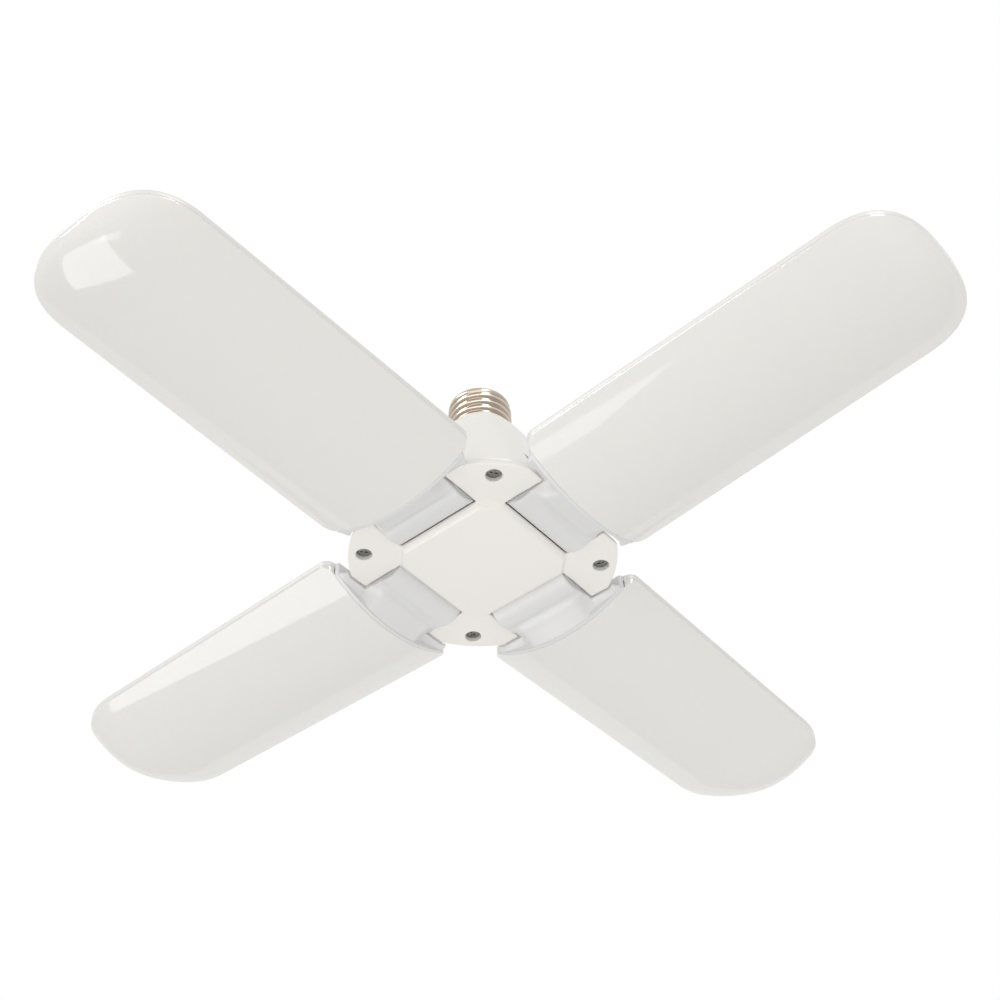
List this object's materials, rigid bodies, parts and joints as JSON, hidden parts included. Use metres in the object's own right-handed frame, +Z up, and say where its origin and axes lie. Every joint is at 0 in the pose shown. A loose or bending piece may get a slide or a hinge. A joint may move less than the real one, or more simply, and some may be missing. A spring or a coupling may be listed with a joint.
{
  "type": "folding garage light",
  "caption": "Screw-in ceiling lamp with long arched LED blades, each hinged to a conical hub so that it folds down.",
  "frame": {"origin": "tip of the centre contact, where the lamp meets its holder", "axes": "+Z up out of the cap along the lamp's axis, cover screws on X and Y, blades on the diagonals"},
  "size_m": [0.3142, 0.3142, 0.1009],
  "materials": {
    "nickelled_brass": "nickel plated, worn bright",
    "black_insulator": "glossy",
    "brass_contact": "plain",
    "white_housing": "semi-gloss moulded",
    "zinc_screws": "zinc plated",
    "pin_steel": "turned",
    "nylon_washer": "natural",
    "green_laminate": "solder mask",
    "capacitor_sleeve": "sleeve",
    "ferrite": "sintered",
    "copper_winding": "enamelled",
    "yellow_film": "epoxy case",
    "black_package": "moulded",
    "resistor_body": "coated",
    "blue_disc": "epoxy dipped",
    "brown_insulation": "smooth",
    "blue_insulation": "smooth",
    "lead_sheath": "smooth",
    "arm_white": "semi-gloss moulded",
    "blade_aluminium": "white coated",
    "milk_diffuser": "glossy milk white",
    "board_mask": "white solder mask",
    "led_package": "phosphor"
  },
  "bodies": {
    "hub": {"screw_shell": "nickelled_brass", "cap_insulator": "black_insulator", "centre_contact": "brass_contact", "neck_housing": "white_housing", "bottom_cover": "white_housing", "cover_screws": "zinc_screws", "hinge_pins": "pin_steel", "friction_washers": "nylon_washer", "driver_board": "green_laminate", "driver_screws": "zinc_screws", "bulk_capacitor": "capacitor_sleeve", "inductor_core": "ferrite", "inductor_winding": "copper_winding", "film_capacitor": "yellow_film", "rectifier_bridge": "black_package", "driver_chip": "black_package", "fuse_resistor": "resistor_body", "varistor": "blue_disc", "live_lead": "brown_insulation", "neutral_lead": "blue_insulation", "hub_leads": "lead_sheath"},
    "blade_front_left": {"hinge_arm_front_left": "arm_white", "blade_back_front_left": "blade_aluminium", "diffuser_front_left": "milk_diffuser", "led_board_front_left": "board_mask", "leds_front_left": "led_package", "board_screws_front_left": "zinc_screws", "arm_screws_front_left": "zinc_screws", "blade_lead_front_left": "lead_sheath"},
    "blade_front_right": {"hinge_arm_front_right": "arm_white", "blade_back_front_right": "blade_aluminium", "diffuser_front_right": "milk_diffuser", "led_board_front_right": "board_mask", "leds_front_right": "led_package", "board_screws_front_right": "zinc_screws", "arm_screws_front_right": "zinc_screws", "blade_lead_front_right": "lead_sheath"},
    "blade_rear_left": {"hinge_arm_rear_left": "arm_white", "blade_back_rear_left": "blade_aluminium", "diffuser_rear_left": "milk_diffuser", "led_board_rear_left": "board_mask", "leds_rear_left": "led_package", "board_screws_rear_left": "zinc_screws", "arm_screws_rear_left": "zinc_screws", "blade_lead_rear_left": "lead_sheath"},
    "blade_rear_right": {"hinge_arm_rear_right": "arm_white", "blade_back_rear_right": "blade_aluminium", "diffuser_rear_right": "milk_diffuser", "led_board_rear_right": "board_mask", "leds_rear_right": "led_package", "board_screws_rear_right": "zinc_screws", "arm_screws_rear_right": "zinc_screws", "blade_lead_rear_right": "lead_sheath"}
  },
  "joints": [
    {"name": "front_left_hinge", "type": "hinge", "parent": "hub", "child": "blade_front_left", "pos_m": [-0.02333, -0.02333, -0.0865], "axis": [0.7071, -0.7071, 0], "range_deg": [-10, 70]},
    {"name": "front_right_hinge", "type": "hinge", "parent": "hub", "child": "blade_front_right", "pos_m": [0.02333, -0.02333, -0.0865], "axis": [0.7071, 0.7071, 0], "range_deg": [-5, 75]},
    {"name": "rear_left_hinge", "type": "hinge", "parent": "hub", "child": "blade_rear_left", "pos_m": [-0.02333, 0.02333, -0.0865], "axis": [-0.7071, -0.7071, 0], "range_deg": [-10, 70]},
    {"name": "rear_right_hinge", "type": "hinge", "parent": "hub", "child": "blade_rear_right", "pos_m": [0.02333, 0.02333, -0.0865], "axis": [-0.7071, 0.7071, 0], "range_deg": [-9, 71]}
  ]
}
